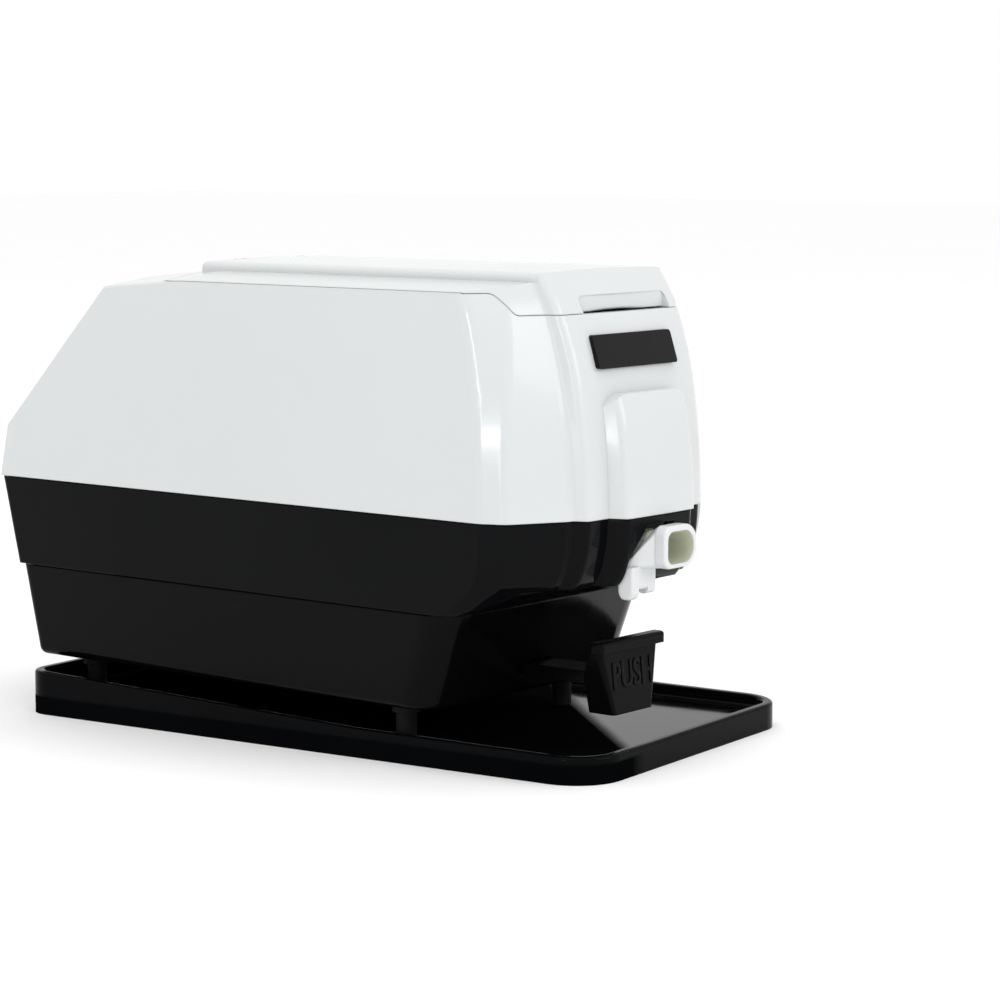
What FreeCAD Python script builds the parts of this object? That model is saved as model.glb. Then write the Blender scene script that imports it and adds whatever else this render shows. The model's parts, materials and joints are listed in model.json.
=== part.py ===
import FreeCAD, Part
import math
import os

os.makedirs("parts", exist_ok=True)

# Hot lather machine: a mains soap-lather dispenser that stands in a loose drip
# tray.  Units are millimetres, +Z is up, the spout faces -Y.  The origin is on
# the underside of the drip tray, in the middle plane of the machine.

# ---------------------------------------------------------------- dimensions
HALF_W = 48.6            # half width of the cover at the seam
SEAM_Z = 70.6            # height of the seam between cover and lower body
REAR_Y = 88.8            # rear of the cover at the seam
REAR_K = 85.8            # rear of the cover where the slope begins
TOP_Z = 135.2            # crown of the cover top
LID_Z = 137.3            # crown of the raised lid panel
LID_HALF = 46.2          # half width of the lid
LID_FRONT_Z = 125.7      # lower edge of the lid front
LID_REAR_Y = 20.8        # rear end of the lid
WALL = 2.4               # cover, lid and lower body wall
GAP = 0.35               # shut line between lid and cover
STEP_Z = 44.0            # step between skirt and tub
SKIRT_FRONT_Z = 51.2     # lower edge of the front overhang
TUB_Z = 16.0             # underside of the tub
AXIS_Z = 62.5            # drive shaft, lather chamber and spout axis
TRAY_L, TRAY_W = 202.0, 112.0
TRAY_CX, TRAY_CY, TRAY_YAW = 10.0, -23.7, 5.5
TRAY_FLOOR = 4.4
TRAY_WALL = 3.2
PADDLE_TRAVEL = 6.0
SEAM_GAP = 0.15          # seam between lid and cover
LID_OPEN = 95.0

V = FreeCAD.Vector
X, Y, Z = V(1, 0, 0), V(0, 1, 0), V(0, 0, 1)


# ---------------------------------------------------------------- helpers
def save(name, shape):
    if shape.ShapeType == "Compound" and len(shape.Solids) == 1:
        shape = shape.Solids[0]
    shape.exportStep("parts/" + name + ".step")


def box(x0, x1, y0, y1, z0, z1):
    return Part.makeBox(x1 - x0, y1 - y0, z1 - z0, V(x0, y0, z0))


def cyl(r, h, p, d=Z):
    return Part.makeCylinder(r, h, V(*p), d)


def tube(ro, ri, h, p, d=Z):
    q = V(*p) - d * 1.0
    return cyl(ro, h, p, d).cut(Part.makeCylinder(ri, h + 2.0, q, d))


def rounded(pts, radii):
    """Closed wire through pts (2D) with a fillet of the given radius at each."""
    n = len(pts)
    segs = []
    for i in range(n):
        p0, p1, p2 = pts[i - 1], pts[i], pts[(i + 1) % n]
        a = V(p0[0] - p1[0], p0[1] - p1[1], 0)
        b = V(p2[0] - p1[0], p2[1] - p1[1], 0)
        la, lb = a.Length, b.Length
        a.normalize()
        b.normalize()
        ang = a.getAngle(b)
        r = radii[i]
        t = r / math.tan(ang / 2.0) if r > 0 else 0.0
        t = min(t, 0.49 * la, 0.49 * lb)
        r = t * math.tan(ang / 2.0)
        v = V(p1[0], p1[1], 0)
        s, e = v + a * t, v + b * t
        if t > 1e-6:
            bis = a + b
            bis.normalize()
            c = v + bis * (r / math.sin(ang / 2.0))
            mid = c + (v - c).normalize() * r
        else:
            mid = None
        segs.append((s, mid, e))
    return segs


def wire_from(segs, place):
    edges = []
    n = len(segs)
    for i in range(n):
        s, mid, e = segs[i]
        if mid is not None:
            edges.append(Part.Arc(place(s), place(mid), place(e)).toShape())
        nxt = segs[(i + 1) % n][0]
        if (nxt - e).Length > 1e-5:
            edges.append(Part.makeLine(place(e), place(nxt)))
    return Part.Wire(edges)


def prism_z(pts, radii, z0, z1):
    w = wire_from(rounded(pts, radii), lambda p: V(p.x, p.y, z0))
    return Part.Face(w).extrude(V(0, 0, z1 - z0))


def prism_x(pts, radii, x0, x1):
    """pts are (y, z)."""
    w = wire_from(rounded(pts, radii), lambda p: V(x0, p.x, p.y))
    return Part.Face(w).extrude(V(x1 - x0, 0, 0))


def prism_y(pts, radii, y0, y1):
    """pts are (x, z)."""
    w = wire_from(rounded(pts, radii), lambda p: V(p.x, y0, p.y))
    return Part.Face(w).extrude(V(0, y1 - y0, 0))


def loft_z(sections, ruled=False):
    """sections: list of (z, pts, radii)."""
    ws = []
    for z, pts, radii in sections:
        ws.append(wire_from(rounded(pts, radii), lambda p, z=z: V(p.x, p.y, z)))
    return Part.makeLoft(ws, True, ruled)


def rrect(hx, hy, r, cx=0.0, cy=0.0):
    return ([(cx + hx, cy - hy), (cx + hx, cy + hy), (cx - hx, cy + hy),
             (cx - hx, cy - hy)], [r] * 4)


def fuse(*s):
    out = s[0]
    for k in s[1:]:
        out = out.fuse(k)
    return out.removeSplitter()


def mirror_x(s):
    return s.mirror(V(0, 0, 0), X)


def pan_screw(p, up=False, r_head=3.0, h_head=2.0, r_shank=1.45, length=9.0):
    """Pan head screw with a cross slot; p is the seat under the head."""
    s = Part.makeCylinder(r_shank, length, V(0, 0, -length))
    h = Part.makeCylinder(r_head, h_head, V(0, 0, 0))
    h = h.makeFillet(0.7, [e for e in h.Edges if e.BoundBox.ZMin > h_head - 0.1 and e.Closed])
    o = s.fuse(h)
    for w in (box(-1.9, 1.9, -0.4, 0.4, h_head - 1.1, h_head + 1), box(-0.4, 0.4, -1.9, 1.9, h_head - 1.1, h_head + 1)):
        o = o.cut(w)
    if up:
        o.rotate(V(0, 0, 0), X, 180)
    o.translate(V(*p))
    return o


def group(shapes):
    return Part.makeCompound(shapes)


# ---------------------------------------------------------------- front outline
# z: side x, corner start y, corner end (x, y), valley start (x, y),
# valley (x, y), panel edge (x, y), panel centre y
OUT = [
    (70.6, 48.6, -100.5, 45.9, -107.8, 30.2, -116.6, 28.2, -117.2, 26.6, -120.8, -121.4),
    (80.0, 48.3, -100.1, 45.5, -107.5, 30.1, -116.3, 28.2, -116.8, 26.6, -120.5, -121.1),
    (90.0, 48.0, -99.5, 44.8, -107.0, 30.0, -115.4, 28.2, -115.9, 26.6, -119.8, -120.4),
    (100.0, 47.6, -98.8, 43.6, -106.4, 29.9, -113.8, 28.2, -114.3, 26.7, -118.4, -119.0),
    (110.0, 47.2, -97.8, 42.0, -105.6, 29.8, -111.6, 28.2, -112.2, 26.8, -116.6, -117.2),
    (120.0, 46.9, -96.2, 39.8, -104.2, 29.8, -108.9, 28.2, -109.5, 27.0, -113.7, -114.3),
    (127.0, 46.8, -94.6, 38.2, -102.5, 29.8, -106.3, 28.3, -106.9, 27.2, -110.9, -111.4),
    (132.0, 46.7, -92.9, 37.0, -100.4, 29.8, -103.8, 28.4, -104.4, 27.4, -108.2, -108.7),
    (139.0, 46.6, -89.5, 35.5, -96.3, 29.8, -99.6, 28.6, -100.2, 27.6, -103.6, -104.1),
]


def outline(row, d=0.0, rear=95.0):
    """Closed outline; d moves it inward (wall or reveal)."""
    z, xs, ycs, xce, yce, xvs, yvs, xv, yv, xp, yp, yc = row
    if d < 1.2:
        left = [(-xs + d, rear), (-xs + d, ycs + 0.3 * d), (-xce + 0.5 * d, yce + 0.9 * d),
                (-xvs + 0.4 * d, yvs + 0.9 * d), (-xv + 0.5 * d, yv + d), (-xp + d, yp + d), (0.0, yc + d)]
        rad = [9.0, 6.0, 5.0, 1.6, 1.1, 2.2, 400.0]
    else:
        left = [(-xs + d, rear), (-xs + d, ycs + 0.8), (-xce + 0.9 * d, yce + 1.0 * d),
                (-xvs + 0.2, yvs + 1.15 * d), (-xp + 3.0, yv + 1.15 * d), (-xp + d + 2.4, yp + d + 0.2),
                (0.0, yc + d)]
        rad = [7.0, 4.0, 3.0, 1.5, 1.0, 1.0, 400.0]
    right = [(-p[0], p[1]) for p in left[:-1]][::-1]
    pts = left + right
    radii = rad + rad[:-1][::-1]
    return pts, radii


def cover_block(d=0.0):
    sections = []
    for row in OUT:
        pts, radii = outline(row, d)
        sections.append((row[0], pts, radii))
    return loft_z(sections)


# ---------------------------------------------------------------- bulge
# raised central field on the lower front of the cover, continued on the skirt
def bulge_cover():
    secs = []
    for row, fy, hw in ((OUT[0], -126.5, 15.6), (OUT[1], -126.3, 15.6), (OUT[2], -125.4, 15.6),
                        (OUT[3], -123.6, 15.4)):
        pts = [(-hw - 2.2, -110.0), (-hw - 2.2, row[11] + 0.4), (-hw, fy + 0.4), (0.0, fy),
               (hw, fy + 0.4), (hw + 2.2, row[11] + 0.4), (hw + 2.2, -110.0)]
        secs.append((row[0], pts, [0.5, 1.8, 2.6, 300.0, 2.6, 1.8, 0.5]))
        pts = [(-17.0, -110.0), (-17.0, -118.4), (-14.6, -120.0), (0.0, -120.3),
           (14.6, -120.0), (17.0, -118.4), (17.0, -110.0)]
    secs.append((107.5, pts, [0.5, 1.8, 2.6, 300.0, 2.6, 1.8, 0.5]))
    b = loft_z(secs)
    # rounded upper corners in front view
    mask = prism_y([(-19.0, 60.0), (19.0, 60.0), (19.0, 104.2), (-19.0, 104.2)],
                   [0.0, 0.0, 8.0, 8.0], -135.0, -105.0)
    return b.common(mask)


# ---------------------------------------------------------------- cover and lid
SLOPE = 0.966            # rear slope, dy per dz


def side_profile(d=0.0, zlow=SEAM_Z):
    k = d * 1.4
    return prism_x([(-160.0, zlow), (REAR_Y - d + (SEAM_Z - zlow) * 0.19, zlow), (REAR_K - d, 86.1 - 0.35 * d),
                    (REAR_K - SLOPE * (150.0 - 86.1) - k, 150.0), (-160.0, 150.0)],
                   [0, 0, 5.0, 0, 0], -60.0, 60.0)


def crown(zc, drop, d=0.0, half=49.5, zlow=20.0, edge=6.0):
    """Slightly domed top, rounded down into the sides."""
    pts = [(-half - 3 + 0, zlow), (-half - 3, zc - drop - edge - 1.2), (-HALF_W + 2.6, zc - drop - 0.8),
           (-28.5, zc - 0.9), (0.0, zc), (28.5, zc - 0.9), (HALF_W - 2.6, zc - drop - 0.8),
           (half + 3, zc - drop - edge - 1.2), (half + 3, zlow)]
    pts = [(p[0], p[1] - (d if i not in (0, 8) else 0)) for i, p in enumerate(pts)]
    return prism_y(pts, [0, 1.0, 3.2, 60.0, 300.0, 60.0, 3.2, 1.0, 0], -170.0, 120.0)




def rear_soft(d=0.0, r=2.4):
    """Body between the sides whose rear corners are rounded: upright rear wall and rear slope."""
    def sect(z, half, rear):
        return (z, [(-half, -150.0), (-half, rear), (half, rear), (half, -150.0)], [0, r, r, 0])
    up = loft_z([sect(60.0, 48.9 - d, REAR_Y + 2.0 - d), sect(145.0, 46.45 - d, REAR_Y - 0.1935 * 74.4 - d)], True)
    k = d * 1.4
    y0 = REAR_K + SLOPE * 26.1
    slope = loft_z([sect(60.0, 48.9 - d, y0 - k), sect(145.0, 46.45 - d, y0 - SLOPE * 85.0 - k)], True)
    return up.common(slope)


def fall(shape):
    """Tilt a roof so that it drops towards the rear."""
    shape = shape.copy()
    shape.rotate(V(0, 12.6, TOP_Z), X, -5.03)
    return shape


PIVOT_Y, PIVOT_Z = LID_REAR_Y - 0.9, 136.0

outer = cover_block(0.0)
outer = outer.common(side_profile(0.0)).common(crown(TOP_Z, 2.3)).common(fall(crown(TOP_Z, 2.3))).common(rear_soft())
outer = outer.fuse(bulge_cover())
# raised centre field of the lid, running from the rear step to the front panel
raised = prism_y([(-28.0, 118.0), (-28.0, 135.9), (-25.6, LID_Z - 0.55), (0.0, LID_Z), (25.6, LID_Z - 0.55),
                  (28.0, 135.9), (28.0, 118.0)], [0, 1.6, 5.0, 300.0, 5.0, 1.6, 0], -150.0, LID_REAR_Y)
raised = raised.common(cover_block(0.0))
raised = raised.common(prism_x([(-150.0, 110.0), (-150.0, LID_Z + 0.4), (LID_REAR_Y, LID_Z + 0.4),
                                (LID_REAR_Y, 110.0)], [0, 0, 1.6, 0], -60.0, 60.0))
outer = outer.fuse(raised).removeSplitter()

inner = cover_block(WALL).common(side_profile(WALL, 60.0)).common(crown(TOP_Z, 2.3, WALL)).common(fall(crown(TOP_Z, 2.3, WALL))).common(rear_soft(WALL, 1.2))
inner = inner.fuse(prism_y([(-16.0, 60.0), (16.0, 60.0), (16.0, 99.0), (-16.0, 99.0)], [0, 0, 5.0, 5.0],
                           -123.4, -112.0).common(
    prism_x([(-124.0, 60.0), (-123.9, 80.0), (-122.6, 91.0), (-120.6, 99.0), (-112.0, 99.0), (-112.0, 60.0)],
            [0] * 6, -16.0, 16.0)))
shell = outer.cut(inner)

# ---- lid: raised field and shoulders, hinged along its rear edge


def lid_zone(g=0.0, gr=0.0):
    """What belongs to the lid: the whole roof, and the upper front between the two corner steps.
    g widens it along the visible seam, gr at the rear, where the lid swings."""
    h, zf, zs = LID_HALF + g, LID_FRONT_Z - g, 131.7 - g
    front = prism_y([(-h, 150.0), (-h, zs), (-39.8 - g, zs), (-36.6 - g, zf), (36.6 + g, zf), (39.8 + g, zs),
                     (h, zs), (h, 150.0)], [0, 0.6, 2.2, 2.2, 2.2, 2.2, 0.6, 0], -140.0, LID_REAR_Y + gr)
    return front.fuse(box(-43.8 - g, 43.8 + g, -88.0 - g, LID_REAR_Y + gr, 127.2 - g, 150.0))


lid = shell.common(lid_zone())
# finger recess in the lower edge of the front
recess = prism_y([(-17.0, 122.0), (-17.0, 130.3), (23.0, 130.3), (23.0, 122.0)], [0, 2.0, 2.0, 0], -130.0, -109.2)
lid = lid.cut(recess).cut(box(-16.6, 22.6, -130.0, -108.0, 120.0, LID_FRONT_Z + 0.25))
# knuckle block under the raised field, pin bore and ear notches
lid = lid.fuse(box(-20.0, 20.0, LID_REAR_Y - 4.4, LID_REAR_Y, 131.2, 135.0)).removeSplitter()
lid = lid.cut(cyl(0.68, 60.0, (-30.0, PIVOT_Y, PIVOT_Z), X).common(box(-20.6, 20.6, 0, 40, 120, 140)))
for sx in (-1, 1):
    lid = lid.cut(box(min(sx * 11.6, sx * 15.4), max(sx * 11.6, sx * 15.4), PIVOT_Y - 1.7, 30.0, 120.0, 150.0))
save("lid", lid)

# ---- top cover
cover = shell.cut(lid_zone(SEAM_GAP, GAP))
ears = []
for sx in (-1, 1):
    ear = prism_x([(LID_REAR_Y + 4.0, 133.2), (LID_REAR_Y + 4.0, 131.0), (LID_REAR_Y - 2.0, 129.0), (PIVOT_Y - 1.1, 131.0),
                   (PIVOT_Y - 1.1, PIVOT_Z + 1.1), (PIVOT_Y + 1.1, PIVOT_Z + 1.1), (PIVOT_Y + 1.1, 133.2)],
                  [0, 0, 0, 0, 1.05, 1.05, 0.4], min(sx * 12.0, sx * 15.0), max(sx * 12.0, sx * 15.0))
    cover = cover.fuse(ear)
    cover = cover.cut(cyl(0.61, 5.0, (sx * 13.5 - 2.5, PIVOT_Y, PIVOT_Z), X))
# screw pillars inside the side walls and the rear
COVER_BOSS = [(42.4, -84.0), (42.4, 66.0)]
for bx, by in COVER_BOSS:
    top = 118.0 if by < 0 else 96.0
    for sx in (-1, 1):
        pil = cyl(3.3, top - SEAM_Z, (sx * bx, by, SEAM_Z)).fuse(
            box(min(sx * bx, sx * 47.0), max(sx * bx, sx * 47.0), by - 1.4, by + 1.4, SEAM_Z, top))
        cover = cover.fuse(pil.common(outer))
        cover = cover.cut(cyl(1.5, 9.0, (sx * bx, by, 70.0)))
# two ribs across the rear roof
for ry in (30.0,):
    rib = box(-44.0, 44.0, ry, ry + 1.6, 124.0, 140.0).common(outer).cut(
        prism_y([(-36.0, 118.0), (-36.0, 130.6), (36.0, 130.6), (36.0, 118.0)], [0, 6.0, 6.0, 0], 20.0, 50.0))
    cover = cover.fuse(rib)
cover = cover.removeSplitter()
save("top_cover", cover)
hinge_pin = cyl(0.6, 40.0, (-20.0, PIVOT_Y, PIVOT_Z), X)
save("lid_hinge_pin", hinge_pin)

# ---- label plate, bare, on the leaning front field
plate = prism_x([(-118.15, 110.9), (-115.2, 119.95), (-111.0, 119.95), (-112.0, 110.9)], [0] * 4, -18.0, 18.0)
plate = plate.common(prism_y([(-18.0, 110.9), (18.0, 110.9), (18.0, 119.95), (-18.0, 119.95)], [0.9] * 4, -125, -100))
plate = plate.cut(outer)
save("label_plate", plate)
print("cover", len(cover.Solids), cover.isValid(), "lid", len(lid.Solids), lid.isValid(),
      "label", len(plate.Solids), round(plate.Volume))

# ---------------------------------------------------------------- skirt
R = OUT[0]
SK_IN = 0.6              # reveal of the skirt under the cover edge
SK_WALL = 2.3
UNDER = [(95.0, STEP_Z), (-91.5, STEP_Z), (-107.5, SKIRT_FRONT_Z), (-135.0, SKIRT_FRONT_Z + 1.0)]


# how far the front has rolled back at each height
ROLL = [(42.0, 19.0), (45.0, 14.2), (48.0, 9.6), (51.0, 5.7), (53.5, 3.6), (56.5, 2.2), (60.0, 1.2), (64.0, 0.45),
        (68.0, 0.08), (SEAM_Z, 0.0), (SEAM_Z + 3.0, 0.0)]


def skirt_plan(d):
    """Body of the skirt: the front outline, rolled under towards its lower edge."""
    sections = []
    for z, roll in ROLL:
        pts, radii = outline(R, d)
        sections.append((z, [(q[0], q[1] + (roll if q[1] < 0 else 0.0)) for q in pts], radii))
    return loft_z(sections)


def skirt_sides(d=0.0, r=2.4):
    """Side walls that draw in slightly towards the tub, with rounded rear corners."""
    return loft_z([(35.0, [(-47.35 + d, -150.0), (-47.35 + d, 80.2 - d), (47.35 - d, 80.2 - d), (47.35 - d, -150.0)],
                    [0, r, r, 0]),
                   (75.0, [(-48.1 + d, -150.0), (-48.1 + d, 89.18 - d), (48.1 - d, 89.18 - d), (48.1 - d, -150.0)],
                    [0, r, r, 0])], True)


sk = skirt_plan(SK_IN).common(skirt_sides()).common(box(-60.0, 60.0, -160.0, 120.0, 40.0, SEAM_Z - 0.3))
bul = loft_z([(z, [(-17.2, -106.0), (-17.2, -120.4 + roll), (-15.0, -125.6 + roll), (0.0, -125.9 + roll),
                   (15.0, -125.6 + roll), (17.2, -120.4 + roll), (17.2, -106.0)], [0, 1.8, 2.6, 300.0, 2.6, 1.8, 0])
              for z, roll in ROLL])
sk = sk.fuse(bul.common(box(-60.0, 60.0, -160.0, 120.0, 40.0, SEAM_Z - 0.3)))
under = prism_x(UNDER + [(-135.0, 90.0), (95.0, 90.0)], [0, 6.0, 6.0, 0, 0, 0], -60.0, 60.0)
sk = sk.common(under)
# rounded lower corners of the overhang, seen from the front
front_mask = prism_y([(-48.6, SKIRT_FRONT_Z - 0.2), (48.6, SKIRT_FRONT_Z - 0.2), (48.6, 90.0), (-48.6, 90.0)],
                     [6.5, 6.5, 0, 0], -140.0, -106.0).fuse(box(-60, 60, -106.0, 120.0, 30.0, 90.0))
sk = sk.common(front_mask)
# the hollow inside, open at the top
sk_in = skirt_plan(SK_IN + SK_WALL).common(skirt_sides(SK_WALL, 1.2))
sk_in = sk_in.fuse(prism_z([(-14.0, -112.0), (-14.0, -119.9), (14.0, -119.9), (14.0, -112.0)], [0, 1.5, 1.5, 0], 50.0, 90.0))
sk_in = sk_in.fuse(prism_z([(-14.0, -112.0), (-14.0, -123.2), (14.0, -123.2), (14.0, -112.0)], [0, 1.5, 1.5, 0], 62.0, 90.0))
sk_in = sk_in.common(prism_x([(p[0], p[1] + 2.3) for p in UNDER] + [(-135.0, 95.0), (95.0, 95.0)],
                             [0, 4.0, 4.0, 0, 0, 0], -60.0, 60.0))
skirt = sk.cut(sk_in)
# opening for the tub collar
skirt = skirt.cut(prism_z([(-45.2, -87.4), (45.2, -87.4), (45.2, 80.0), (-45.2, 80.0)], [9.4, 9.4, 3.5, 3.5], 30.0, 50.0))
# notch for the spout and its bracket: an arch that runs out downwards on one side
NOTCH = [(7.9, 66.4), (-4.8, 66.4), (-11.7, 58.4), (-12.8, 55.8), (-12.8, 40.0), (-1.0, 40.0), (-1.0, 55.6), (7.9, 55.6)]
NOTCH_R = [3.0, 3.0, 3.0, 3.0, 0, 0, 0.8, 1.5]
skirt = skirt.cut(prism_y(NOTCH, NOTCH_R, -135.0, -117.9))
# softened edge of the arch
ARCH_OUT = [(9.9, 68.9), (-6.6, 68.9), (-14.4, 60.4), (-16.4, 56.4), (-16.4, 40.0), (-1.0, 40.0), (-1.0, 55.6), (9.9, 55.6)]


def ring_y(pts, radii, y):
    return wire_from(rounded(pts, radii), lambda q: V(q.x, y, q.y))


try:
    bevel = Part.makeLoft([ring_y(ARCH_OUT, NOTCH_R, -126.6), ring_y(NOTCH, NOTCH_R, -123.0)], True, True)
    sk2 = skirt.cut(bevel)
    if sk2.isValid() and len(sk2.Solids) == 1:
        skirt = sk2
        print("arch bevel ok")
except Exception as ex:
    print("arch bevel", ex)
# fixing lugs to the tub and screw pads for the cover
LUGS = (-54.0, 50.0)
for sx in (-1, 1):
    for ly in LUGS:
        lug = box(min(sx * 36.5, sx * 46.6), max(sx * 36.5, sx * 46.6), ly - 4.5, ly + 4.5, 47.4, 50.0)
        lug = lug.cut(cyl(1.7, 10.0, (sx * 40.3, ly, 44.0)))
        skirt = skirt.fuse(lug)
    for bx, by in COVER_BOSS:
        pad = box(min(sx * 38.8, sx * 47.0), max(sx * 38.8, sx * 47.0), by - 4.5, by + 4.5, 66.5, 70.2)
        skirt = skirt.fuse(pad.cut(cyl(1.7, 10.0, (sx * bx, by, 63.0))))
    # locating lip inside the cover wall
    lip = box(min(sx * 44.4, sx * 45.6), max(sx * 44.4, sx * 45.6), -76.0, 58.0, 66.0, 73.5)
    web = box(min(sx * 44.4, sx * 46.8), max(sx * 44.4, sx * 46.8), -76.0, 58.0, 66.0, 69.9)
    skirt = skirt.fuse(lip).fuse(web)
# apertures in the rear wall for the inlet and the switch
LEAN = math.degrees(math.atan2(0.2245, 1.0))
REAR_C = V(0.0, 85.6, 59.0)


def on_rear(shape, x):
    """Place a shape modelled about the XZ plane (outside = +Y) on the leaning rear wall."""
    s = shape.copy()
    s.rotate(V(0, 0, 0), X, -LEAN)
    s.translate(V(x, REAR_C.y, REAR_C.z))
    return s


skirt = skirt.cut(on_rear(box(-11.6, 11.6, -10.0, 10.0, -8.3, 8.3), -19.0))
skirt = skirt.cut(on_rear(box(-6.4, 6.4, -10.0, 10.0, -9.2, 9.2), 19.0))
skirt = skirt.removeSplitter()
save("skirt_shell", skirt)
print("skirt", len(skirt.Solids), skirt.isValid(), skirt.BoundBox)

# ---------------------------------------------------------------- tub


def tub_sections(d, z0=TUB_Z, z1=STEP_Z - 0.4):
    def at(z):
        t = (z - TUB_Z) / (STEP_Z - 0.4 - TUB_Z)
        hx = 44.7 + 2.0 * t - d
        yf = -79.8 - 9.3 * t + d
        yr = 76.8 + 4.3 * t - d
        return (z, [(-hx, yf), (hx, yf), (hx, yr), (-hx, yr)], [10.5, 10.5, 3.2, 3.2])
    return loft_z([at(z0), at(z1)], True)


tub = tub_sections(0.0)
try:
    tub = tub.makeFillet(2.6, [e for e in tub.Edges if e.BoundBox.ZMax < TUB_Z + 0.1])
except Exception:
    pass
tub = tub.cut(tub_sections(2.2, TUB_Z + 2.4, STEP_Z + 2.0))
collar = prism_z([(-44.9, -87.0), (44.9, -87.0), (44.9, 79.6), (-44.9, 79.6)], [9.4, 9.4, 3.2, 3.2], STEP_Z - 2.4, 46.9)
collar = collar.cut(prism_z([(-43.0, -85.2), (43.0, -85.2), (43.0, 77.7), (-43.0, 77.7)], [7.4, 7.4, 2.2, 2.2], 30.0, 50.0))
tub = tub.fuse(collar)
FEET = [(35.6, -64.0), (35.6, 60.0)]
CH_POST = [(36.0, -44.0), (36.0, 28.0)]
for sx in (-1, 1):
    for fx, fy in FEET:
        tub = tub.cut(cyl(1.6, 6.0, (sx * fx, fy, 14.0)))
    for fx, fy in CH_POST:
        tub = tub.fuse(cyl(3.6, 40.0 - 17.5, (sx * fx, fy, 17.5)))
        tub = tub.cut(cyl(1.5, 12.0, (sx * fx, fy, 29.0)))
    for ly in LUGS:
        tub = tub.fuse(cyl(3.4, 47.3 - 17.5, (sx * 40.3, ly, 17.5)).common(tub_sections(0.5, TUB_Z, 60.0)))
        tub = tub.cut(cyl(1.5, 12.0, (sx * 40.3, ly, 36.5)))
# slot for the paddle arm
tub = tub.cut(box(-6.5, 6.5, -95.0, -75.0, 21.3, 25.5))
# drain slots in the floor
for k in range(6):
    tub = tub.cut(prism_z(*rrect(12.0, 1.1, 1.0, 0.0, 10.0 + 6.0 * k), 10.0, 20.0))
tub = tub.removeSplitter()
save("bottom_tub", tub)
print("tub", len(tub.Solids), tub.isValid())

# ---- feet
feet, foot_screws = [], []
for sx in (-1, 1):
    for fx, fy in FEET:
        f = cyl(2.9, TUB_Z - 4.7, (sx * fx, fy, 4.7))
        f = f.makeFillet(0.7, [e for e in f.Edges if e.Closed and e.BoundBox.ZMax < 5.0])
        f = f.fuse(cyl(4.0, 2.4, (sx * fx, fy, TUB_Z - 2.4)))
        f = f.cut(cyl(1.5, 20.0, (sx * fx, fy, 6.2)))
        feet.append(f.removeSplitter())
        foot_screws.append(pan_screw((sx * fx, fy, 18.42), False, 2.9, 1.8, 1.45, 11.8))
save("machine_feet", group(feet))
save("foot_screws", group(foot_screws))

# ---- drip tray
def tray_place(s):
    s = s.copy()
    s.rotate(V(0, 0, 0), Z, TRAY_YAW)
    s.translate(V(TRAY_CX, TRAY_CY, 0))
    return s


hx, hy = TRAY_W / 2.0, TRAY_L / 2.0


def tray_plan(d, rf, rr):
    pts, _ = rrect(hx - d, hy - d, 1.0)
    return pts, [rf, rr, rr, rf]


PADS = [(px * (hx - 14.0), py * (hy - 16.0)) for px in (-1, 1) for py in (-1, 1)]
tray = prism_z(*tray_plan(0.0, 14.0, 8.5), 0.0, 16.0)
prof = [(-hy - 5, -1.0), (hy + 5, -1.0), (hy + 5, 13.0), (hy - 6.0, 13.0), (-21.0, 8.2), (-hy - 5, 7.6)]
tray = tray.common(prism_x(prof, [0, 0, 0, 20.0, 60.0, 0], -70.0, 70.0))
tray = tray.cut(prism_z(*tray_plan(TRAY_WALL, 10.6, 5.2), TRAY_FLOOR, 20.0))
# pockets in the flat underside for the pads
for px, py in PADS:
    tray = tray.cut(cyl(6.3, 2.95, (px, py, -1.0)))
for r in (0.9, 0.6):
    try:
        es = [e for e in tray.Edges if e.BoundBox.ZMin > 7.0 and e.BoundBox.ZMax > 7.5 and
              not (e.BoundBox.ZMax - e.BoundBox.ZMin > 3.0 and e.BoundBox.DiagonalLength < 8.0)]
        t2 = tray.makeFillet(r, es)
        if t2.isValid():
            tray = t2
            print("tray rim fillet", r)
            break
    except Exception as ex:
        print("fillet", r, ex)
for r in (1.6, 1.0):
    try:
        es = [e for e in tray.Edges if abs(e.BoundBox.ZMin - TRAY_FLOOR) < 0.01 and abs(e.BoundBox.ZMax - TRAY_FLOOR) < 0.01]
        t2 = tray.makeFillet(r, es)
        if t2.isValid():
            tray = t2
            print("tray floor fillet", r)
            break
    except Exception as ex:
        print("fillet", r, ex)
tray = tray_place(tray)
save("drip_tray", tray)
pads = []
for px, py in PADS:
    p = cyl(6.0, 1.9, (px, py, 0.0))
    p = p.makeFillet(0.5, [e for e in p.Edges if e.Closed and e.BoundBox.ZMax < 0.1])
    pads.append(tray_place(p))
save("tray_pads", group(pads))
print("tray", len(tray.Solids), tray.isValid())

# ---------------------------------------------------------------- spout, bracket, valve
SPOUT_FRONT, SPOUT_BACK = -132.5, -129.0


def mouth(x0, x1, z0, z1, rl, rr):
    """Flat oval: softly squared on one end, round on the other."""
    return [(x0, z0), (x1, z0), (x1, z1), (x0, z1)], [rl, rr, rr, rl]


def loft_y(sections):
    return Part.makeLoft([wire_from(rounded(pts, radii), lambda q, y=y: V(q.x, y, q.y)) for y, (pts, radii) in sections],
                         True, True)


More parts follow.
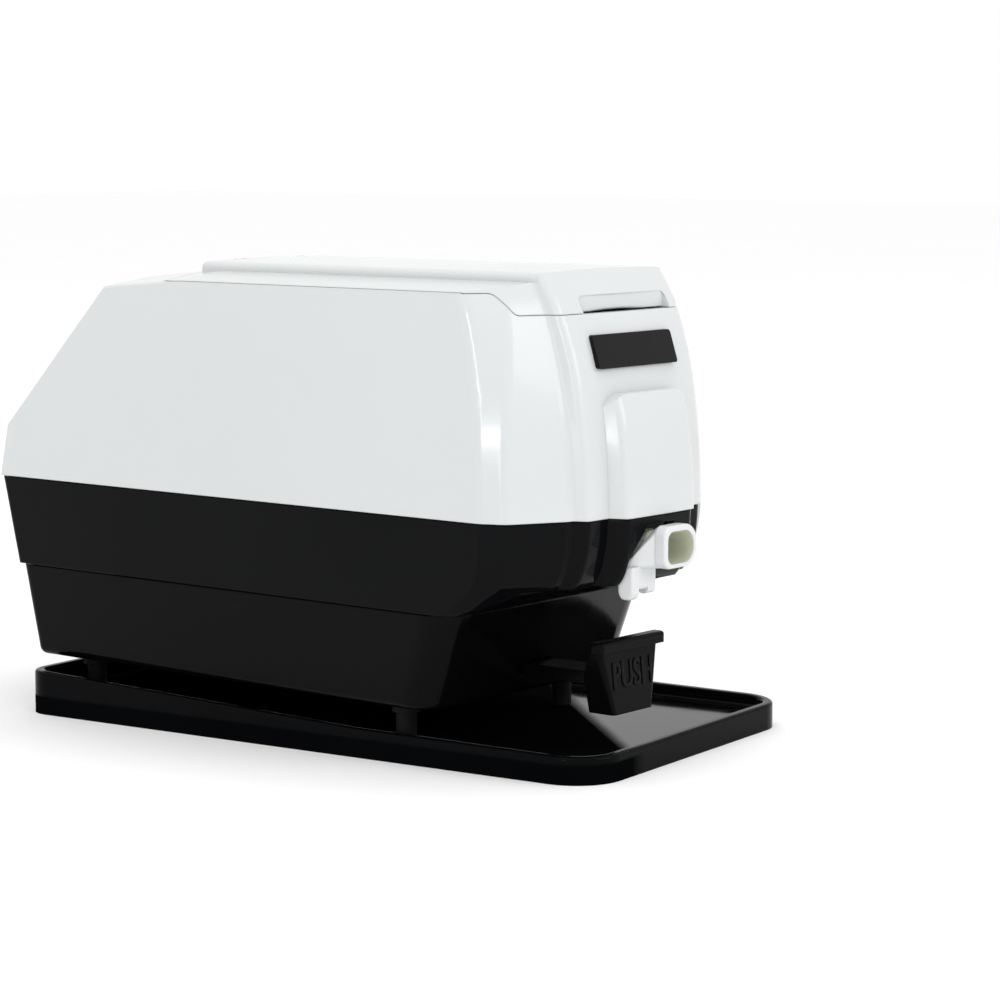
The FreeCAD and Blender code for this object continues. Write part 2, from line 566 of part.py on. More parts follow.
SLEEVE = [(SPOUT_BACK - 0.5, mouth(-6.8, 6.75, 57.0, 67.3, 2.4, 4.6)), (-119.8, mouth(-6.0, 6.0, 57.5, 65.4, 2.2, 3.6))]
noz = prism_y(*mouth(-7.6, 7.6, 56.3, 68.1, 2.8, 5.3), SPOUT_FRONT, SPOUT_BACK)
try:
    n2 = noz.makeFillet(0.6, [e for e in noz.Edges if e.BoundBox.YMax < SPOUT_FRONT + 0.1])
    noz = n2 if n2.isValid() else noz
except Exception as ex:
    print("spout rim", ex)
noz = noz.fuse(loft_y(SLEEVE)).fuse(cyl(4.0, 4.0, (0, -121.5, AXIS_Z), Y))
noz = noz.cut(loft_y([(-132.6, mouth(-6.2, 5.9, 57.5, 66.5, 2.4, 4.2)), (-121.2, mouth(-5.2, 5.2, 58.3, 64.6, 2.0, 3.2))]))
noz = noz.cut(cyl(2.2, 30.0, (0, -140.0, AXIS_Z), Y)).removeSplitter()
save("spout", noz)


# bracket: fills the arch, flares forward into the spout, with a deep cheek on one side and a toe below
def tilt_y(z):
    return -122.0 - (z - 56.3) * 0.333


FLARE = [(7.55, 56.3), (7.55, 66.05), (-4.7, 66.05), (-11.3, 58.25), (-12.4, 56.3)]
FLARE_R = [1.2, 3.0, 3.0, 2.6, 0.9]
LIP = [(7.6, 56.3), (7.6, 68.1), (-5.6, 68.1), (-7.6, 66.1), (-7.6, 56.3)]
LIP_R = [5.3, 5.3, 2.2, 2.2, 2.6]
flare = Part.makeLoft([wire_from(rounded(FLARE, FLARE_R), lambda q: V(q.x, tilt_y(q.y), q.y)),
                       wire_from(rounded(LIP, LIP_R), lambda q: V(q.x, SPOUT_BACK, q.y))], True, True)
BACK = [(7.45, 56.4), (7.45, 65.95), (-4.62, 65.95), (-11.16, 58.2), (-12.22, 56.4)]
back = prism_y(BACK, FLARE_R, -128.0, -118.2).common(
    prism_x([(tilt_y(50.0), 50.0), (tilt_y(70.0), 70.0), (-110.0, 70.0), (-110.0, 50.0)], [0] * 4, -20.0, 20.0))
cheek = prism_x([(-125.2, 56.9), (-125.2, 49.6), (-124.2, 47.7), (-120.8, 47.7), (-119.9, 49.8), (-119.9, 56.9)],
                [0, 1.4, 1.6, 1.6, 1.4, 0], -12.4, -9.5)
web_ = prism_x([(-125.2, 56.9), (-125.2, 50.3), (-121.0, 50.3), (-121.0, 56.9)], [0, 1.2, 1.2, 0], -10.5, -1.35)
toe = prism_x([(-125.2, 56.9), (-125.2, 48.9), (-121.8, 48.9), (-121.8, 56.9)], [0, 1.5, 1.5, 0], -5.4, -1.35)
low_block = fuse(cheek, web_, toe)
try:
    l2 = low_block.makeFillet(0.8, [e for e in low_block.Edges if e.BoundBox.ZLength > 4.0 and e.BoundBox.YMax < -125.1])
    low_block = l2 if l2.isValid() else low_block
except Exception as ex:
    print("block edge", ex)
low_block = low_block.common(prism_y([(-12.4, 40.0), (-12.4, 56.4), (-11.9, 57.2), (-1.35, 57.2), (-1.35, 40.0)], [0] * 5, -130.0, -110.0))
bracket = fuse(flare, back, low_block)
bracket = bracket.cut(loft_y([(y, ([(q[0] * 1.008, q[1] + (0.05 if q[1] > 62 else -0.05)) for q in pts], radii))
                              for y, (pts, radii) in SLEEVE]))
bracket = bracket.cut(cyl(4.05, 30.0, (0, -135.0, AXIS_Z), Y)).removeSplitter()
save("spout_bracket", bracket)
print("spout", len(noz.Solids), noz.isValid(), "bracket", len(bracket.Solids), bracket.isValid())

vb = box(-8.4, 8.4, -117.4, -110.5, 54.2, 71.6)
vb = vb.cut(box(-6.35, 6.35, -114.85, -113.15, 54.8, 90.0)).cut(cyl(2.2, 20.0, (0, -125.0, AXIS_Z), Y))
vb = vb.cut(cyl(4.05, 2.2, (0, -119.5, AXIS_Z), Y)).cut(cyl(5.6, 2.2, (0, -111.5, AXIS_Z), Y))
arch = box(-8.4, -6.6, -117.4, -110.5, 71.6, 90.0).fuse(box(6.6, 8.4, -117.4, -110.5, 71.6, 90.0)).fuse(
    box(-8.4, 8.4, -117.4, -110.5, 90.0, 92.0))
vb = fuse(vb, arch)
save("valve_body", vb)
gate = box(-6.0, 6.0, -114.5, -113.5, 55.2, 70.0)
gate = gate.cut(cyl(2.2, 10.0, (0, -120.0, AXIS_Z - 5.0), Y))
gate = gate.fuse(box(-4.0, 4.0, -116.4, -111.6, 72.2, 73.8)).fuse(box(-3.0, 3.0, -114.5, -113.5, 69.0, 73.0))
save("valve_gate", gate.removeSplitter())


def coil(cx, cy, z0, z1, r, w, turns):
    h = Part.makeHelix((z1 - z0 - 2 * w) / turns, z1 - z0 - 2 * w, r)
    ring = Part.Wire([Part.Circle(V(r, 0, 0), Y, w).toShape()])
    c = Part.Wire(h.Edges).makePipeShell([ring], True, True)
    c.translate(V(cx, cy, z0 + w))
    return c


vs = coil(0.0, -114.0, 73.9, 89.9, 2.6, 0.45, 6)
save("valve_spring", vs)
print("valve spring", len(vs.Solids), vs.isValid())

# ---------------------------------------------------------------- paddle
# the face leans out at the foot; the cheeks are shallow at the top and deep at the foot
PAD_Z0, PAD_Z1 = 14.5, 32.6
shell_ = loft_z([(PAD_Z0, [(-9.2, -116.7), (9.2, -116.7), (9.2, -107.9), (-9.2, -107.9)], [1.4, 1.4, 0.4, 0.4]),
                 (PAD_Z1, [(-13.7, -115.0), (13.7, -115.0), (13.7, -107.9), (-13.7, -107.9)], [1.4, 1.4, 0.4, 0.4])], True)
shell_ = shell_.cut(prism_x([(-107.7, 24.0), (-109.7, 28.5), (-112.4, 34.0), (-100.0, 34.0), (-100.0, 24.0)], [0] * 5, -20.0, 20.0))
hollow = loft_z([(PAD_Z0 + 1.8, [(-7.6, -114.4), (7.6, -114.4), (7.6, -100.0), (-7.6, -100.0)], [0.4] * 4),
                 (PAD_Z1 - 0.6, [(-11.6, -112.9), (11.6, -112.9), (11.6, -100.0), (-11.6, -100.0)], [0.4] * 4)], True)
flange = prism_z([(-15.4, -116.7), (15.4, -116.7), (15.4, -112.2), (-15.4, -112.2)], [1.8, 1.8, 1.4, 1.4], 32.2, 35.3)
for r in (0.9, 0.6):
    try:
        f2 = flange.makeFillet(r, [e for e in flange.Edges if e.BoundBox.ZMin > 35.2])
        if f2.isValid():
            flange = f2
            break
    except Exception as ex:
        print("flange fillet", r, ex)
pad_ = shell_.cut(hollow)
pad_ = fuse(pad_, flange)
# socket for the arm on the back of the face
sock = box(-7.2, 7.2, -114.3, -108.2, 20.0, 27.0).cut(box(-6.02, 6.02, -111.6, -100.0, 21.58, 25.22))
pad_ = fuse(pad_, sock)
pad_ = pad_.cut(cyl(1.2, 12.0, (0, -109.6, 19.0)))
save("push_paddle", pad_)
print("paddle", len(pad_.Solids), pad_.isValid())

arm = box(-6.0, 6.0, -111.5, -56.0, 21.6, 25.2)
arm = arm.fuse(box(5.0, 18.0, -69.0, -66.5, 21.6, 25.2)).fuse(box(-3.0, 3.0, -58.4, -56.0, 21.6, 31.5))
arm = arm.cut(cyl(1.2, 20.0, (0, -109.6, 15.0)))
save("paddle_arm", arm.removeSplitter())
arm_pin = cyl(1.18, 6.9, (0, -109.6, 20.05))
save("arm_pin", arm_pin)

guide = box(-9.5, 9.5, -64.0, -44.0, 18.42, 28.4)
guide = guide.cut(box(-6.35, 6.35, -70.0, -49.0, 21.25, 25.55)).cut(box(-3.4, 3.4, -70.0, -49.0, 20.0, 40.0))
guide = guide.cut(box(6.0, 12.0, -65.0, -57.5, 21.2, 30.0))
save("arm_guide", guide.removeSplitter())

# ---- microswitch
ms = box(10.8, 21.0, -59.9, -40.5, 18.45, 34.0)
ms = ms.cut(box(13.4, 17.4, -62.0, -56.6, 21.2, 25.6))
for ty in (-56.5, -50.4, -44.3):
    ms = ms.fuse(box(15.2, 16.0, ty - 1.5, ty + 1.5, 34.0, 38.6).cut(cyl(0.8, 4.0, (13.5, ty, 37.0), X)))
save("microswitch_body", ms.removeSplitter())
btn = box(13.75, 17.05, -61.4, -58.4, 21.55, 25.25)
save("microswitch_button", btn)
print("arm etc ok")

# ---------------------------------------------------------------- chassis and drive
plate = prism_z([(-41.0, -78.0), (41.0, -78.0), (41.0, 60.0), (-41.0, 60.0)], [3.0] * 4, 40.05, 42.0)
for sx in (-1, 1):
    for fx, fy in CH_POST:
        plate = plate.cut(cyl(1.7, 10.0, (sx * fx, fy, 35.0)))
    for ly in LUGS:
        plate = plate.cut(box(min(sx * 35.8, sx * 50), max(sx * 35.8, sx * 50), ly - 5.5, ly + 5.5, 30.0, 50.0))
plate = plate.cut(prism_z(*rrect(22.0, 4.5, 3.0, 0.0, -45.5), 30.0, 50.0)).cut(prism_z(*rrect(9.0, 2.5, 2.0, -24.0, 8.0), 30.0, 50.0))
save("chassis_plate", plate)
save("chassis_screws", group([pan_screw((sx * fx, fy, 42.05)) for sx in (-1, 1) for fx, fy in CH_POST]))
save("tub_screws", group([pan_screw((sx * 40.3, ly, 50.05), False, 2.7) for sx in (-1, 1) for ly in LUGS]))
save("cover_screws", group([pan_screw((sx * bx, by, 66.45), True, 2.5, 2.0, 1.45, 11.0) for sx in (-1, 1) for bx, by in COVER_BOSS]))

# ---- lather chamber
ch = cyl(16.0, 30.5, (0, -84.5, AXIS_Z), Y).cut(cyl(13.5, 40.0, (0, -81.5, AXIS_Z), Y))
ch = ch.fuse(cyl(5.5, 26.0, (0, -110.4, AXIS_Z), Y)).cut(cyl(3.2, 30.0, (0, -111.0, AXIS_Z), Y).fuse(cyl(2.2, 4.0, (0, -112.0, AXIS_Z), Y)))
for y0, y1 in ((-83.5, -81.2), (-58.0, -54.6)):
    leg = box(-12.0, 12.0, y0, y1, 42.05, 53.0).cut(cyl(15.0, 40.0, (0, -90.0, AXIS_Z), Y))
    ch = ch.fuse(leg)
ch = ch.fuse(tube(2.6, 1.5, 6.6, (-14.6 - 6.0, -58.0, AXIS_Z), X).cut(cyl(14.5, 40.0, (0, -90, AXIS_Z), Y)))
ch = ch.cut(cyl(1.5, 12.0, (-24.0, -58.0, AXIS_Z), X)).removeSplitter()
save("lather_chamber", ch)
cap = cyl(18.0, 3.6, (0, -53.95, AXIS_Z), Y).fuse(cyl(13.4, 3.4, (0, -57.3, AXIS_Z), Y))
cap = cap.cut(cyl(2.05, 20.0, (0, -60.0, AXIS_Z), Y)).cut(cyl(5.0, 3.0, (0, -53.3, AXIS_Z), Y)).removeSplitter()
save("chamber_end_cap", cap)
seal = tube(4.98, 2.06, 2.8, (0, -53.25, AXIS_Z), Y)
save("chamber_seal", seal)
band = tube(18.4, 16.02, 17.6, (0, -79.8, AXIS_Z), Y).cut(box(10.0, 25.0, -90.0, -50.0, AXIS_Z - 1.2, AXIS_Z + 1.2))
band = band.fuse(box(17.9, 24.0, -74.0, -68.0, AXIS_Z + 1.2, AXIS_Z + 2.6)).fuse(box(17.9, 24.0, -74.0, -68.0, AXIS_Z - 2.6, AXIS_Z - 1.2))
band = band.cut(cyl(1.3, 20.0, (21.6, -71.0, 50.0)))
save("heater_band", band.removeSplitter())
th = cyl(6.5, 2.4, (-20.85, -71.0, AXIS_Z), X).fuse(cyl(4.6, 5.0, (-25.8, -71.0, AXIS_Z), X)).fuse(
    box(-18.45 - 1.2, -18.45, -79.0, -63.0, AXIS_Z - 3.0, AXIS_Z + 3.0)).fuse(
    box(-28.6, -25.8, -74.2, -73.4, AXIS_Z - 2.5, AXIS_Z + 2.5)).fuse(box(-28.6, -25.8, -68.6, -67.8, AXIS_Z - 2.5, AXIS_Z + 2.5))
save("thermostat", th.removeSplitter())
fz = V(14.6, 0, AXIS_Z + 14.6)
fu = cyl(2.1, 11.0, (fz.x, -76.5, fz.z), Y).fuse(cyl(0.5, 5.0, (fz.x, -81.0, fz.z), Y)).fuse(cyl(0.5, 5.0, (fz.x, -66.0, fz.z), Y))
clip = box(fz.x - 2.6, fz.x + 2.6, -72.5, -69.5, fz.z - 3.6, fz.z + 2.6).cut(cyl(18.45, 40.0, (0, -90.0, AXIS_Z), Y))
save("thermal_fuse", fu.fuse(clip).removeSplitter())

# ---- motor
st = box(-24.0, 34.0, -28.0, -8.0, 45.0, 80.0)
st = st.cut(cyl(12.4, 40.0, (0, -40.0, AXIS_Z), Y)).cut(box(16.0, 25.6, -30.0, 0.0, 51.0, 74.0))
for cx, cz in ((-20.5, 48.5), (-20.5, 76.5), (12.0, 47.6), (12.0, 77.4)):
    st = st.cut(cyl(1.6, 30.0, (cx, -35.0, cz), Y))
for sx, sz in ((-9.5, 9.5), (9.5, -9.5)):
    st = st.cut(cyl(1.4, 30.0, (sx * 1.36, -35.0, AXIS_Z + sz * 1.36), Y))
st = st.fuse(box(-20.0, -8.0, -26.0, -10.0, 42.05, 45.0)).fuse(box(18.0, 30.0, -26.0, -10.0, 42.05, 45.0))
save("motor_stator", st.removeSplitter())
co = prism_y([(17.0, 51.6), (42.4, 51.6), (42.4, 73.4), (17.0, 73.4)], [3.0] * 4, -35.4, -0.6)
co = co.common(prism_z([(17.0, -35.4), (42.4, -35.4), (42.4, -0.6), (17.0, -0.6)], [5.0] * 4, 40.0, 90.0))
co = co.cut(box(25.5, 34.1, -28.1, -7.9, 40.0, 90.0))
save("motor_coil", co)
mb, bush = [], []
for y0, y1, yl0, yl1 in ((-39.5, -37.7, -37.7, -28.05), (1.6, 3.4, -7.95, 1.6)):
    b = prism_y([(-24.0, 45.6), (15.5, 45.6), (15.5, 79.4), (-24.0, 79.4)], [5.0] * 4, y0, y1)
    b = b.cut(cyl(4.6, 10.0, (0, y0 - 2.0, AXIS_Z), Y))
    for wx0, wx1, wz0, wz1 in ((-16.0, -8.0, 55.0, 70.0), (-4.0, 12.0, 48.6, 53.6), (-4.0, 12.0, 71.4, 76.4)):
        b = b.cut(box(wx0, wx1, y0 - 1, y1 + 1, wz0, wz1))
    for cx, cz in ((-20.5, 48.9), (-20.5, 76.1), (12.0, 49.0), (12.0, 76.0)):
        b = b.fuse(cyl(2.9, yl1 - yl0, (cx, yl0, cz), Y).cut(cyl(1.6, 40.0, (cx, -40.0, cz), Y)))
    for cx, cz in ((-20.5, 48.9), (-20.5, 76.1), (12.0, 49.0), (12.0, 76.0)):
        b = b.cut(cyl(1.6, 10.0, (cx, y0 - 3.0, cz), Y))
    mb.append(b.removeSplitter())
    bush.append(tube(4.58, 2.04, 5.0, (0, y0 - 1.6, AXIS_Z), Y))
save("motor_brackets", group(mb))
save("motor_bushes", group(bush))
rotor = tube(11.9, 2.0, 19.0, (0, -27.5, AXIS_Z), Y)
for k in range(14):
    c = cyl(0.9, 30.0, (10.4, -35.0, AXIS_Z), Y)
    c.rotate(V(0, 0, AXIS_Z), Y, k * 360.0 / 14)
    rotor = rotor.cut(c)
save("rotor", rotor)
shaft = cyl(2.0, 74.0, (0, -44.3, AXIS_Z), Y)
save("motor_shaft", shaft)
cpl = tube(5.0, 2.0, 8.2, (0, -49.8, AXIS_Z), Y).cut(cyl(1.2, 12.0, (0, -47.4, AXIS_Z - 6 + 6)).cut(box(-9, 9, -99, 99, 0, AXIS_Z)))
save("shaft_coupling", cpl)
hub = tube(6.0, 2.0, 6.0, (0, 5.6, AXIS_Z), Y)
fan = hub
for k in range(7):
    bl = box(5.0, 15.6, -0.6, 0.6, -3.2, 3.2)
    bl.rotate(V(0, 0, 0), X, 35)
    bl.translate(V(0, 8.6, AXIS_Z))
    bl.rotate(V(0, 0, AXIS_Z), Y, k * 360.0 / 7)
    fan = fan.fuse(bl)
save("cooling_fan", fan.removeSplitter())
ag = cyl(2.0, 34.0, (0, -79.0, AXIS_Z), Y).cut(box(-5, 5, -44.6, -40.0, 50, 80)).fuse(tube(4.0, 1.9, 18.0, (0, -79.0, AXIS_Z), Y))
for k in range(6):
    for y0 in (-78.6, -72.4, -66.2):
        v = box(3.4, 12.7, y0, y0 + 4.2, -0.7, 0.7)
        v.translate(V(0, 0, AXIS_Z))
        v.rotate(V(0, 0, AXIS_Z), Y, k * 60.0 + (y0 + 78.6) * 4)
        ag = ag.fuse(v)
save("agitator", ag.removeSplitter())
print("drive ok")

# ---- gear pump
GC = 12.6


def gear(cx, phase, bore):
    n, rt, rr = 12, 7.0, 4.9
    pts = []
    for i in range(n):
        a = math.radians(360.0 * i / n + phase)
        for da, rad in ((-9.0, rr), (-4.2, rt), (4.2, rt), (9.0, rr)):
            t = a + math.radians(da)
            pts.append(V(rad * math.cos(t), 0, rad * math.sin(t)))
    w = Part.makePolygon(pts + [pts[0]])
    g = Part.Face(w).extrude(V(0, 8.6, 0))
    g.translate(V(cx, 20.6, AXIS_Z))
    return g.cut(cyl(bore, 20.0, (cx, 15.0, AXIS_Z), Y))


save("pump_drive_gear", gear(0.0, 0.0, 2.0))
save("pump_idler_gear", gear(GC, 15.0, 2.05))
pb = prism_y([(-11.5, 51.0), (24.0, 51.0), (24.0, 74.0), (-11.5, 74.0)], [4.0] * 4, 17.6, 29.8)
pb = pb.cut(cyl(7.45, 20.0, (0, 20.0, AXIS_Z), Y)).cut(cyl(7.45, 20.0, (GC, 20.0, AXIS_Z), Y))
pb = pb.cut(cyl(2.05, 20.0, (0, 10.0, AXIS_Z), Y)).fuse(cyl(2.0, 11.0, (GC, 18.5, AXIS_Z), Y))
pb = pb.fuse(box(-6.0, 18.0, 19.0, 28.0, 42.05, 51.5))
pb = pb.fuse(cyl(3.4, 4.0, (6.3, 24.8, 73.5))).cut(cyl(1.6, 20.0, (6.3, 24.8, AXIS_Z + 4.0)))
pb = pb.fuse(cyl(3.4, 5.0, (-15.5, 24.8, AXIS_Z), X)).cut(cyl(1.6, 14.0, (-18.0, 24.8, AXIS_Z), X))
save("pump_body", pb.removeSplitter())
pc = prism_y([(-11.5, 51.0), (24.0, 51.0), (24.0, 74.0), (-11.5, 74.0)], [4.0] * 4, 29.85, 32.4)
pc = pc.fuse(cyl(5.0, 2.0, (0, 32.0, AXIS_Z), Y)).cut(cyl(2.3, 1.2, (0, 29.5, AXIS_Z), Y))
for cx, cz in ((-8.2, 53.8), (-8.2, 71.2), (20.8, 53.8), (20.8, 71.2)):
    pc = pc.fuse(cyl(1.9, 1.2, (cx, 32.2, cz), Y).cut(box(cx - 1.5, cx + 1.5, 32.9, 34, cz - 0.3, cz + 0.3)))
save("pump_cover", pc.removeSplitter())
print("pump ok")

# ---- reservoir and soap lines
def tank(d, z0, z1):
    def at(z):
        t = (z - 86.0) / 39.0
        hx2 = 35.0 + 2.5 * t - d
        return (z, [(-hx2, -84.0 + d), (hx2, -84.0 + d), (hx2, 8.0 - d), (-hx2, 8.0 - d)], [9.0 - 0.5 * d] * 4)
    return loft_z([at(z0), at(z1)], True)


res = tank(0.0, 86.0, 124.0)
res = res.fuse(loft_z([(122.0, [(-40.0, -86.6), (40.0, -86.6), (40.0, 10.6), (-40.0, 10.6)], [9.0] * 4),
                       (124.0, [(-40.0, -86.6), (40.0, -86.6), (40.0, 10.6), (-40.0, 10.6)], [9.0] * 4)], True))
res = res.cut(tank(2.0, 88.4, 130.0))
res = res.fuse(cyl(4.6, 3.4, (6.3, 7.0, 93.5), Y)).cut(cyl(3.1, 20.0, (6.3, 4.0, 93.5), Y))
save("reservoir", res.removeSplitter())
ro = tube(3.08, 1.6, 9.0, (6.3, 6.2, 93.5), Y).fuse(tube(4.8, 2.9, 1.4, (6.3, 10.5, 93.5), Y))
ro = ro.cut(cyl(1.6, 30.0, (6.3, 0.0, 93.5), Y))
save("reservoir_outlet", ro.removeSplitter())
cr = []
for sx in (-1, 1):
    for ly in (-70.0, 8.0):
        c = box(min(sx * 33.4, sx * 35.4), max(sx * 33.4, sx * 35.4), ly - 5, ly + 5, 42.05, 85.95)
        c = c.fuse(box(min(sx * 26.0, sx * 35.4), max(sx * 26.0, sx * 35.4), ly - 5, ly + 5, 84.0, 85.95))
        c = c.fuse(box(min(sx * 33.4, sx * 39.6), max(sx * 33.4, sx * 39.6), ly - 5, ly + 5, 42.05, 44.0))
        c = c.cut(cyl(3.0, 20.0, (sx * 34.0 - 10.0, ly, 64.0), X))
        cr.append(c)
save("reservoir_stays", group([c.removeSplitter() for c in cr]))


def hose(pts, bend, ro_, ri_):
    """Tube along straight runs joined by bends of one radius."""
    pts = [V(*q) for q in pts]
    edges, last = [], pts[0]
    for i in range(1, len(pts) - 1):
        a_ = (pts[i - 1] - pts[i]).normalize()
        b_ = (pts[i + 1] - pts[i]).normalize()
        t = bend / math.tan(a_.getAngle(b_) / 2.0)
        s_, e_ = pts[i] + a_ * t, pts[i] + b_ * t
        c_ = pts[i] + (a_ + b_).normalize() * (bend / math.sin(a_.getAngle(b_) / 2.0))
        m_ = c_ + (pts[i] - c_).normalize() * bend
        edges.append(Part.makeLine(last, s_))
        edges.append(Part.Arc(s_, m_, e_).toShape())
        last = e_
    edges.append(Part.makeLine(last, pts[-1]))
    path = Part.Wire(edges)
    d0 = (pts[1] - pts[0]).normalize()
    out = []
    for r in (ro_, ri_):
        w = Part.Wire([Part.Circle(pts[0], d0, r).toShape()])
        out.append(path.makePipeShell([w], True, False))
    return out[0].cut(out[1])


suction = hose([(6.3, 15.3, 93.5), (6.3, 24.8, 93.5), (6.3, 24.8, 77.6)], 7.0, 2.9, 1.6)
save("suction_tube", suction)
deliv = hose([(-15.6, 24.8, AXIS_Z), (-29.0, 24.8, AXIS_Z), (-29.0, -58.0, AXIS_Z), (-20.7, -58.0, AXIS_Z)], 7.0, 2.4, 1.5)
save("delivery_tube", deliv)
print("tubes", suction.isValid(), deliv.isValid(), len(suction.Solids), len(deliv.Solids))

# ---------------------------------------------------------------- electrical
tb = box(-18.0, 18.0, 42.0, 54.0, 42.05, 50.0)
for k in range(5):
    cx = -14.0 + 7.0 * k
    tb = tb.cut(cyl(2.0, 6.0, (cx, 45.4, 45.0))).cut(cyl(2.0, 6.0, (cx, 50.6, 45.0)))
    tb = tb.fuse(cyl(1.7, 1.6, (cx, 45.4, 45.0))).fuse(cyl(1.7, 1.6, (cx, 50.6, 45.0)))
    if k:
        tb = tb.fuse(box(cx - 3.8, cx - 3.2, 42.0, 54.0, 50.0, 53.0))
save("terminal_block", tb.removeSplitter())

fl = prism_y([(-14.0, -10.2), (14.0, -10.2), (14.0, 10.2), (-14.0, 10.2)], [2.4] * 4, 0.03, 1.9)
try:
    fl = fl.makeFillet(0.6, [e for e in fl.Edges if e.BoundBox.YMin > 1.8])
except Exception:
    pass
body = box(-11.4, 11.4, -9.0, 1.0, -8.1, 8.1)
cav = prism_y([(-9.4, -6.2), (9.4, -6.2), (9.4, 2.6), (5.6, 6.2), (-5.6, 6.2), (-9.4, 2.6)], [1.0] * 6, -7.4, 5.0)
inl = fl.fuse(body).cut(cav)
for cx, cz in ((-5.0, -1.6), (5.0, -1.6), (0.0, 2.2)):
    inl = inl.fuse(box(cx - 0.9, cx + 0.9, -8.0, -0.6, cz - 1.9, cz + 1.9))
    inl = inl.fuse(box(cx - 1.6, cx + 1.6, -12.5, -8.9, cz - 0.4, cz + 0.4))
save("power_inlet", on_rear(inl.removeSplitter(), -19.0))
bz = prism_y([(-8.2, -11.2), (8.2, -11.2), (8.2, 11.2), (-8.2, 11.2)], [1.6] * 4, 0.03, 1.9)
try:
    bz = bz.makeFillet(0.6, [e for e in bz.Edges if e.BoundBox.YMin > 1.8])
except Exception:
    pass
bz = bz.fuse(box(-6.2, 6.2, -12.0, 1.0, -9.0, 9.0)).cut(box(-5.4, 5.4, -9.0, 5.0, -8.2, 8.2))
bz = bz.fuse(box(-4.4, -2.8, -17.0, -11.5, -0.4, 0.4)).fuse(box(2.8, 4.4, -17.0, -11.5, -0.4, 0.4))
bz = bz.cut(cyl(1.0, 20.0, (-10.0, -2.4, 0.0), X).common(box(-6.3, 6.3, -9, 9, -9, 9)))
save("rocker_bezel", on_rear(bz.removeSplitter(), 19.0))
# rocker, two faces 20 degrees apart, in the off position
rk = prism_x([(-4.6, -5.0), (0.4, -7.3), (2.6, -7.0), (0.9, 0.0), (2.6, 7.0), (0.4, 7.3), (-4.6, 5.0)],
             [1.0, 0.8, 0.8, 14.0, 0.8, 0.8, 1.0], -5.0, 5.0)
rk = rk.fuse(cyl(0.95, 11.6, (-5.8, -2.4, 0.0), X))
rk.rotate(V(0, -2.4, 0), X, -10.0)
save("power_rocker", on_rear(rk.removeSplitter(), 19.0))
print("done", len(os.listdir("parts")))
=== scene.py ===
import json
import math

import bpy
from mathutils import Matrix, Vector


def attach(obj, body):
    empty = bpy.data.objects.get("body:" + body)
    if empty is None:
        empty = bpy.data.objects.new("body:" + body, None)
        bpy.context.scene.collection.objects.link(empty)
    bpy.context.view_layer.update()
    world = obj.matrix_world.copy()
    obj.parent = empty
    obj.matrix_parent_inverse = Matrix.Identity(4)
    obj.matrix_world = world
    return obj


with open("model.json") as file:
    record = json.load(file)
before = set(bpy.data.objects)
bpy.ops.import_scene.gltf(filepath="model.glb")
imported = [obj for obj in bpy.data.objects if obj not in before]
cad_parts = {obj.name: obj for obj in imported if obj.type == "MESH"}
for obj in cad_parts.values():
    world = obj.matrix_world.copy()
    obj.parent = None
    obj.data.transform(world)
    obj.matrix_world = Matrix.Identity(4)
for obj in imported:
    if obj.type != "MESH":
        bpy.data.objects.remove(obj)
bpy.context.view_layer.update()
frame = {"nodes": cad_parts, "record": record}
NODES = frame["nodes"]


